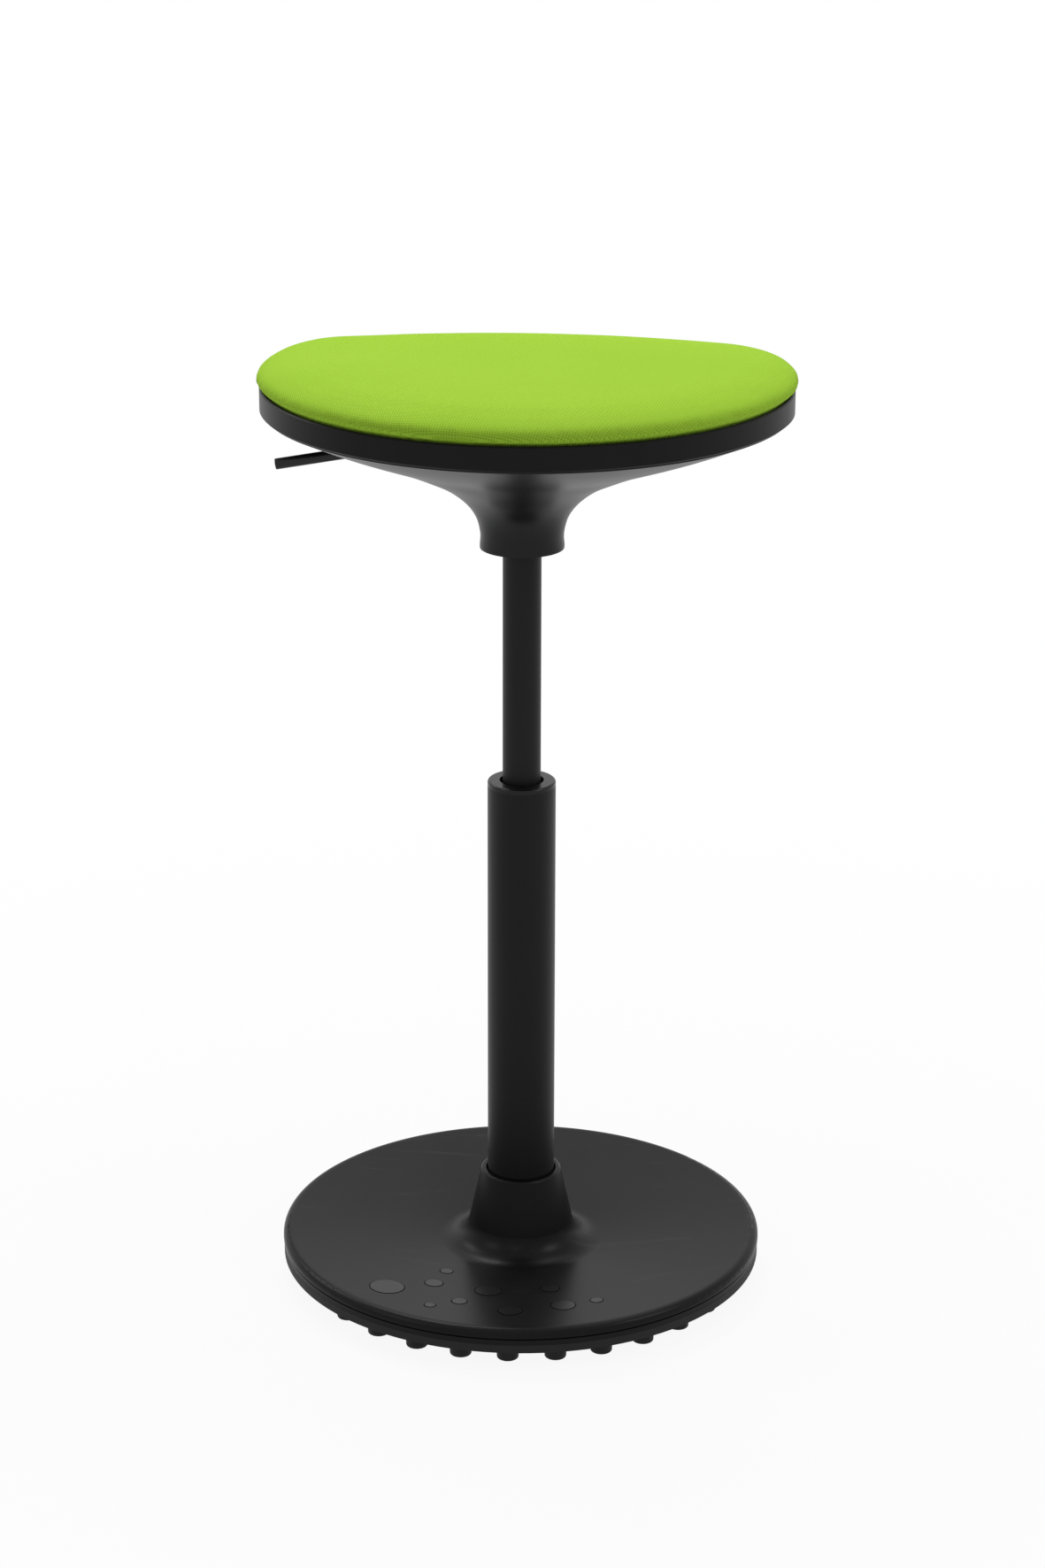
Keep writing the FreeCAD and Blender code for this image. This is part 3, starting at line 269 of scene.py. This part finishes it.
def metal(name, colour, rough, streak=(1.0, 1.0, 30.0), depth=0.00002):
    """Bare metal with a fine drawn or turned streak."""
    shade = 0.82
    smoother = 0.07
    rougher = 0.09
    tree = Tree(name)
    lines = tree.noise(scale=60.0, detail=4.0, roughness=0.6, coords=tree.scaled(*streak))
    shaded = tuple(channel * shade for channel in colour)
    tint = tree.mix(tree.span(lines, *NOISE_BAND), shaded, colour)
    roughness = tree.span(lines, 0.25, 0.75, rough - smoother, rough + rougher)
    tree.set(Metallic=1.0)
    return tree.finish(tint, roughness, tree.bump(lines, strength=0.25, distance=depth))


def rubber(name, colour, rough):
    """Dull rubber with a faint bloom."""
    bloom_gain = 1.7
    bloom_lift = 0.004
    rough_spread = 0.06
    tree = Tree(name)
    bloom = tree.noise(scale=40.0, detail=5.0, roughness=0.65)
    pale = tuple(channel * bloom_gain + bloom_lift for channel in colour)
    tint = tree.mix(tree.span(bloom, 0.35, 0.75), colour, pale)
    roughness = tree.span(bloom, *NOISE_BAND, rough - rough_spread, rough + rough_spread)
    grain = tree.noise(scale=1400.0, detail=2.0)
    tree.set(Specular_IOR_Level=0.25)
    return tree.finish(tint, roughness, tree.bump(grain, strength=0.3, distance=0.00004))


def plywood(name):
    """Raw plywood: long grain on the faces, plies on the edge."""
    late_wood = (0.42, 0.28, 0.15)
    early_wood = (0.62, 0.46, 0.28)
    glue = (0.30, 0.19, 0.10)
    glue_share = 0.35
    tree = Tree(name)
    grain = tree.noise(scale=14.0, detail=6.0, roughness=0.6, distortion=1.5,
                       coords=tree.scaled(1.0, 9.0, 1.0))
    plies = tree.texture("ShaderNodeTexWave", Scale=210.0, Distortion=0.4)
    plies.bands_direction = "Z"
    face = tree.mix(tree.span(grain, *NOISE_BAND), late_wood, early_wood)
    glued = tree.span(plies.outputs["Fac"], 0.0, 1.0, to_high=glue_share)
    colour = tree.mix(glued, face, glue)
    roughness = tree.span(grain, *NOISE_BAND, to_low=0.6, to_high=0.75)
    return tree.finish(colour, roughness, tree.bump(grain, strength=0.3, distance=0.0002))


def open_foam(name):
    """Open-cell foam; its pores are darker than the cell walls, which is painted shade in the
    hollows.
    """
    # Pore colour: the foam's own colour darkened, painted shade in the cell hollows.
    pore_shade = (0.55, 0.52, 0.42)
    wall = (0.82, 0.79, 0.70)
    tree = Tree(name)
    cells = tree.texture("ShaderNodeTexVoronoi", Scale=700.0).outputs["Distance"]
    colour = tree.mix(tree.span(cells, 0.0, 0.6), pore_shade, wall)
    roughness = tree.span(cells, 0.0, 0.7, to_low=0.85, to_high=0.95)
    return tree.finish(colour, roughness, tree.bump(cells, strength=0.6, distance=0.0005))


def woven(name):
    """Lime fabric: small raised dots in slanting rows, drawn down over the cushion's edge. The
    valleys between the dots are darker, which is painted shade.
    """
    # Valley colours: the lime darkened, painted shade between the raised dots; the two tones of
    # each pair differ by dye.
    shaded_valley_dyes = ((0.235, 0.465, 0.020), (0.255, 0.490, 0.024))
    thread_dyes = ((0.420, 0.700, 0.055), (0.445, 0.725, 0.062))
    fuzz_share = 0.35
    tree = Tree(name)
    facing = tree.nodes.new("ShaderNodeNewGeometry").outputs["Normal"]
    outward = tree.vector("NORMALIZE", tree.vector("MULTIPLY", facing, (1.0, 1.0, 0.0)))
    below = tree.math("SUBTRACT", WEAVE_EDGE, tree.split(tree.coords)["Z"])
    drop = tree.math("MAXIMUM", below, 0.0)
    drawn = tree.vector("SCALE", outward, scale=tree.math("MULTIPLY", drop, WEAVE_DRAW))
    sheet = tree.split(tree.vector("ADD", tree.coords, drawn))
    waves = []
    for angle in (WEAVE_SLANT, WEAVE_SLANT + 90.0):
        turn = math.radians(angle)
        along_x = tree.math("MULTIPLY", sheet["X"], math.cos(turn) * math.tau / WEAVE_PITCH)
        along_y = tree.math("MULTIPLY", sheet["Y"], math.sin(turn) * math.tau / WEAVE_PITCH)
        waves.append(tree.math("SINE", tree.math("ADD", along_x, along_y)))
    dots = tree.span(tree.math("MULTIPLY", *waves), -1.0, 1.0)
    fuzz = tree.noise(scale=2600.0, detail=2.0, roughness=0.7)
    raised = tree.math("ADD", dots, tree.math("MULTIPLY", fuzz, fuzz_share))
    dye = tree.span(tree.noise(scale=7.0, detail=3.0), *NOISE_BAND)
    shaded_valley = tree.mix(dye, *shaded_valley_dyes)
    thread = tree.mix(dye, *thread_dyes)
    # Painted shade in the valleys, and the thread's lime on the raised dots.
    colour = tree.mix(tree.span(raised, 0.15, 0.85), shaded_valley, thread)
    roughness = tree.span(raised, 0.0, 1.2, to_low=0.88, to_high=0.74)
    tree.set(Specular_IOR_Level=0.04, Sheen_Weight=0.01, Sheen_Roughness=0.5,
             Sheen_Tint=(0.75, 0.95, 0.55, 1.0))
    return tree.finish(colour, roughness, tree.bump(raised, strength=0.55, distance=0.00028))


# How each slot of the record is made, and from which values
FINISHES = {
    "sole_rubber": (rubber, {"colour": (0.006, 0.006, 0.006), "rough": 0.62}),
    "coated_steel": (moulded, {
        "dark": (0.006, 0.006, 0.0065), "light": (0.008, 0.008, 0.0085),
        "rough": 0.42, "grain": 1500.0, "grain_depth": 0.00003, "gloss": 0.12,
    }),
    "bare_steel": (metal, {"colour": (0.55, 0.55, 0.56), "rough": 0.34}),
    "dot_rubber": (moulded, {
        "dark": (0.009, 0.009, 0.0093), "light": (0.012, 0.012, 0.0123),
        "rough": 0.28, "grain": 1500.0, "grain_depth": 0.00002, "gloss": 0.19,
    }),
    "base_plastic": (moulded, {
        "dark": (0.006, 0.006, 0.0063), "light": (0.009, 0.009, 0.0093),
        "rough": 0.32, "grain": 1300.0, "grain_depth": 0.00004, "gloss": 0.10,
        "scuffs": 0.16,
    }),
    "column_coating": (moulded, {
        "dark": (0.006, 0.006, 0.0063), "light": (0.008, 0.008, 0.0083),
        "rough": 0.40, "grain": 2400.0, "grain_depth": 0.00004, "gloss": 0.15,
    }),
    "liner_plastic": (moulded, {
        "dark": (0.005, 0.005, 0.0053), "light": (0.007, 0.007, 0.0073),
        "rough": 0.26, "grain": 1800.0, "grain_depth": 0.00002, "gloss": 0.22,
    }),
    "brass_cage": (metal, {"colour": (0.70, 0.55, 0.25), "rough": 0.32}),
    "seal_rubber": (rubber, {"colour": (0.012, 0.012, 0.012), "rough": 0.55}),
    "rod_chrome": (metal, {
        "colour": (0.75, 0.75, 0.76), "rough": 0.12,
        "streak": (1.0, 1.0, 6.0), "depth": 0.000005,
    }),
    "tube_coating": (moulded, {
        "dark": (0.008, 0.008, 0.0083), "light": (0.011, 0.011, 0.0113),
        "rough": 0.44, "grain": 1500.0, "grain_depth": 0.00009, "gloss": 0.16,
    }),
    "lever_coating": (moulded, {
        "dark": (0.006, 0.006, 0.0065), "light": (0.009, 0.009, 0.0095),
        "rough": 0.30, "grain": 1900.0, "grain_depth": 0.00003, "gloss": 0.30,
    }),
    "seat_plastic": (moulded, {
        "dark": (0.008, 0.008, 0.0083), "light": (0.010, 0.010, 0.0103),
        "rough": 0.35, "grain": 1500.0, "grain_depth": 0.00003, "gloss": 0.19,
    }),
    "rim_plastic": (moulded, {
        "dark": (0.014, 0.014, 0.0143), "light": (0.017, 0.017, 0.0173),
        "rough": 0.36, "grain": 1700.0, "grain_depth": 0.00002, "gloss": 0.07,
    }),
    "board_wood": (plywood, {}),
    "foam": (open_foam, {}),
    "lime_fabric": (woven, {}),
}


def dress(made):
    """Give each CAD node the material of its slot, through the object's own slots."""
    for row in frame["record"]["subparts"]:
        thing = NODES[row["node"]]
        for slot in thing.material_slots:
            slot.link = "OBJECT"
            slot.material = made[row["material_slot"]]


# Cushion

def heading(angle):
    return Vector((math.cos(angle), math.sin(angle)))


def seat_arcs():
    """Centre, radius and span of the six tangent arcs of the seat outline."""
    front_turn = math.radians(FRONT_HALF_ANGLE - 90.0)
    flank_turn = math.radians(FLANK_END_ANGLE)
    front = Vector((0.0, FRONT_RADIUS - FRONT_REACH))
    flank = front + heading(front_turn) * (FRONT_RADIUS - FLANK_RADIUS)
    corner = flank + heading(flank_turn) * (FLANK_RADIUS - CORNER_RADIUS)
    rise = CORNER_RADIUS + BACK_BOW
    back_radius = (corner.x ** 2 + rise ** 2 - CORNER_RADIUS ** 2) / (2 * BACK_BOW)
    back = Vector((0.0, corner.y + rise - back_radius))
    back_turn = math.atan2(corner.y - back.y, corner.x)
    half = math.pi
    return [
        (front, FRONT_RADIUS, -half - front_turn, front_turn),
        (flank, FLANK_RADIUS, front_turn, flank_turn),
        (corner, CORNER_RADIUS, flank_turn, back_turn),
        (back, back_radius, back_turn, half - back_turn),
        (Vector((-corner.x, corner.y)), CORNER_RADIUS, half - back_turn, half - flank_turn),
        (Vector((-flank.x, flank.y)), FLANK_RADIUS, half - flank_turn, half - front_turn),
    ]


def outline(count):
    """Evenly spaced (centre, radius, angle) round the seat outline."""
    arcs = seat_arcs()
    lengths = [radius * (end - start) for centre, radius, start, end in arcs]
    step = sum(lengths) / count
    spots = []
    for number in range(count):
        along = number * step
        for (centre, radius, start, end), length in zip(arcs, lengths):
            if along < length:
                spots.append((centre, radius, start + along / radius))
                break
            along -= length
    return spots


def ring_points(spots, scale, spread, level):
    """Outline at a level, scaled about the origin and then spread outwards."""
    points = []
    for centre, radius, angle in spots:
        spot = centre * scale + heading(angle) * (radius * scale + spread)
        points.append(Vector((spot.x, spot.y, level)))
    return points


def closed_mesh(name, rings):
    """Closed skin over a run of rings, with a cap on each end."""
    mesh = bpy.data.meshes.new(name)
    skin = bmesh.new()
    rows = [[skin.verts.new(point) for point in ring] for ring in rings]
    count = len(rings[0])
    for low, high in zip(rows, rows[1:]):
        for number in range(count):
            after = (number + 1) % count
            skin.faces.new((low[number], low[after], high[after], high[number]))
    skin.faces.new(tuple(reversed(rows[0])))
    skin.faces.new(tuple(rows[-1]))
    bmesh.ops.triangulate(skin, faces=[face for face in skin.faces if len(face.verts) > 4])
    bmesh.ops.recalc_face_normals(skin, faces=skin.faces)
    skin.to_mesh(mesh)
    skin.free()
    return mesh


def settle(thing):
    """Apply the object's modifiers: it gets the plain mesh that they make."""
    graph = bpy.context.evaluated_depsgraph_get()
    mesh = bpy.data.meshes.new_from_object(thing.evaluated_get(graph), depsgraph=graph)
    mesh.name = thing.name
    thing.modifiers.clear()
    thing.data = mesh
    return mesh


def band_share(rise):
    """A rise as a share of the band between held and free, kept within 0 and 1."""
    return min(max(rise / (FREE_ABOVE - HELD_BELOW), 0.0), 1.0)


def swell(thing):
    """Swell the upholstery with cloth pressure, held inside the rim, and cap how far it moves."""
    rest = [vertex.co.copy() for vertex in thing.data.vertices]
    held = thing.vertex_groups.new(name="held")
    for number, spot in enumerate(rest):
        held.add([number], band_share(FREE_ABOVE - spot.z), "REPLACE")
    cloth = thing.modifiers.new("swell", "CLOTH")
    for name, value in CLOTH.items():
        setattr(cloth.settings, name, value)
    cloth.settings.vertex_group_mass = held.name
    cloth.settings.effector_weights.gravity = 0.0
    cloth.point_cache.frame_start = 1
    cloth.point_cache.frame_end = LAST_FRAME
    for number in range(1, LAST_FRAME + 1):
        bpy.context.scene.frame_set(number)
    mesh = settle(thing)
    bpy.context.scene.frame_set(1)
    moves = [vertex.co - start for vertex, start in zip(mesh.vertices, rest)]
    moves = evened_out(mesh, moves)
    for vertex, start, move in zip(mesh.vertices, rest, moves):
        if move.length > CUSHION_SWELL:
            move = move * (CUSHION_SWELL / move.length)
        vertex.co = start + move * band_share(start.z - HELD_BELOW)


def evened_out(mesh, moves):
    """Moves of the cloth, averaged with their neighbours so that the cover stays taut."""
    for _ in range(SWELL_SMOOTHING):
        sums = [move.copy() for move in moves]
        counts = [1] * len(moves)
        for edge in mesh.edges:
            one, other = edge.vertices
            sums[one] += moves[other]
            sums[other] += moves[one]
            counts[one] += 1
            counts[other] += 1
        moves = [total / count for total, count in zip(sums, counts)]
    return moves


def make_cushion(cloth):
    """Upholstered cushion that stands for the CAD's fabric and foam."""
    spots = outline(CUSHION_STEPS)
    rings = [ring_points(spots, 1.0, spread, level) for spread, level in CUSHION_SIDE]
    rings += [ring_points(spots, scale, spread, level) for scale, spread, level in CUSHION_CROWN]
    form = bpy.data.objects.new("cushion_form", closed_mesh("cushion_form", rings))
    thing = bpy.data.objects.new("seat_cushion", form.data.copy())
    bpy.context.scene.collection.objects.link(form)
    bpy.context.scene.collection.objects.link(thing)
    remesh = thing.modifiers.new("even", "REMESH")
    remesh.mode = "VOXEL"
    remesh.voxel_size = CUSHION_VOXEL
    smooth = thing.modifiers.new("even_out", "SMOOTH")
    smooth.iterations = VOXEL_SMOOTHING
    snap = thing.modifiers.new("snap", "SHRINKWRAP")
    snap.target = form
    settle(thing)
    bpy.data.objects.remove(form)
    swell(thing)
    finer = thing.modifiers.new("finer", "SUBSURF")
    finer.levels = 1
    finer.render_levels = 1
    mesh = settle(thing)
    for face in mesh.polygons:
        face.use_smooth = True
    mesh.materials.clear()
    mesh.materials.append(cloth)
    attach(thing, "lift")
    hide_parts("seat_cover", "seat_foam")


# Camera and studio

def make_camera():
    """Camera at the photograph's place and angle."""
    yaw, pitch, roll = (math.radians(angle) for angle in (CAMERA_YAW, CAMERA_PITCH, CAMERA_ROLL))
    ahead = Vector((math.sin(yaw), math.cos(yaw), 0.0))
    right = Vector((math.cos(yaw), -math.sin(yaw), 0.0))
    up = Vector((0.0, 0.0, 1.0))
    forward = ahead * math.cos(pitch) - up * math.sin(pitch)
    above = ahead * math.sin(pitch) + up * math.cos(pitch)
    axis_x = right * math.cos(roll) + above * math.sin(roll)
    axis_y = above * math.cos(roll) - right * math.sin(roll)
    data = bpy.data.cameras.new("camera")
    data.sensor_width = FILM_SIDE
    data.lens = CAMERA_LENS
    data.clip_end = CAMERA_REACH
    thing = bpy.data.objects.new("camera", data)
    turn = Matrix((axis_x, axis_y, -forward)).transposed()
    thing.matrix_world = Matrix.Translation(CAMERA_PLACE) @ turn.to_4x4()
    bpy.context.scene.collection.objects.link(thing)
    bpy.context.scene.camera = thing


def emptied(owner):
    """The nodes and links of a material or world, with its own nodes taken out."""
    owner.use_nodes = True
    nodes = owner.node_tree.nodes
    nodes.clear()
    return nodes, owner.node_tree.links


def combined(nodes, links, operation, first, second):
    """Two sockets through one Math node."""
    node = nodes.new("ShaderNodeMath")
    node.operation = operation
    links.new(first, node.inputs[0])
    links.new(second, node.inputs[1])
    return node.outputs[0]


def seen_white(nodes, links):
    """Share of a ray that sees plain white: camera, glossy and transmission rays."""
    path = nodes.new("ShaderNodeLightPath").outputs
    direct = combined(nodes, links, "MAXIMUM", path["Is Camera Ray"], path["Is Glossy Ray"])
    return combined(nodes, links, "MAXIMUM", direct, path["Is Transmission Ray"])


def blended(nodes, links, share, first, second, output):
    """Two shaders, the second by this share, into the surface of a new output node."""
    blend = nodes.new("ShaderNodeMixShader")
    for socket, source in zip(blend.inputs, (share, first.outputs[0], second.outputs[0])):
        links.new(source, socket)
    links.new(blend.outputs[0], nodes.new(output).inputs["Surface"])


def floor_material():
    """Matt white that glows for the rays that see plain white, less so near the object."""
    white = bpy.data.materials.new("floor_white")
    nodes, links = emptied(white)
    matt = nodes.new("ShaderNodeBsdfDiffuse")
    matt.inputs["Color"].default_value = (FLOOR_GREY, FLOOR_GREY, FLOOR_GREY, 1.0)
    glow = nodes.new("ShaderNodeEmission")
    glow.inputs["Strength"].default_value = 1.0
    away = nodes.new("ShaderNodeVectorMath")
    away.operation = "LENGTH"
    links.new(nodes.new("ShaderNodeTexCoord").outputs["Object"], away.inputs[0])
    fade = nodes.new("ShaderNodeMapRange")
    fade.inputs["From Min"].default_value = GLOW_NEAR
    fade.inputs["From Max"].default_value = GLOW_FAR
    fade.inputs["To Min"].default_value = GLOW_SHARE_NEAR
    fade.inputs["To Max"].default_value = 1.0
    links.new(away.outputs["Value"], fade.inputs["Value"])
    share = combined(nodes, links, "MULTIPLY", seen_white(nodes, links), fade.outputs["Result"])
    blended(nodes, links, share, matt, glow, "ShaderNodeOutputMaterial")
    return white


def make_floor():
    mesh = bpy.data.meshes.new("floor")
    sides = ((-1, -1), (1, -1), (1, 1), (-1, 1))
    corners = [(x * FLOOR_REACH, y * FLOOR_REACH, 0.0) for x, y in sides]
    mesh.from_pydata(corners, [], [(0, 1, 2, 3)])
    mesh.materials.append(floor_material())
    floor = bpy.data.objects.new("floor", mesh)
    bpy.context.scene.collection.objects.link(floor)


def make_world():
    """Grey light on the object, and white for the rays that see plain white."""
    world = bpy.data.worlds.new("studio")
    nodes, links = emptied(world)
    lights = []
    for grey in (AMBIENT_GREY, BACKDROP_GREY):
        light = nodes.new("ShaderNodeBackground")
        light.inputs["Color"].default_value = (grey, grey, grey, 1.0)
        lights.append(light)
    blended(nodes, links, seen_white(nodes, links), *lights, "ShaderNodeOutputWorld")
    bpy.context.scene.world = world


def make_lamp(name, place, target, side, power):
    data = bpy.data.lights.new(name, "AREA")
    data.shape = "SQUARE"
    data.size = side
    data.energy = power
    thing = bpy.data.objects.new(name, data)
    thing.location = place
    thing.rotation_euler = (Vector(target) - Vector(place)).to_track_quat("-Z", "Y").to_euler()
    bpy.context.scene.collection.objects.link(thing)


make_camera()
make_floor()
make_world()
for lamp in LAMPS:
    make_lamp(*lamp)
bpy.context.scene.view_settings.view_transform = "Standard"
made = {slot: make(slot, **values) for slot, (make, values) in FINISHES.items()}
dress(made)
make_cushion(made["lime_fabric"])
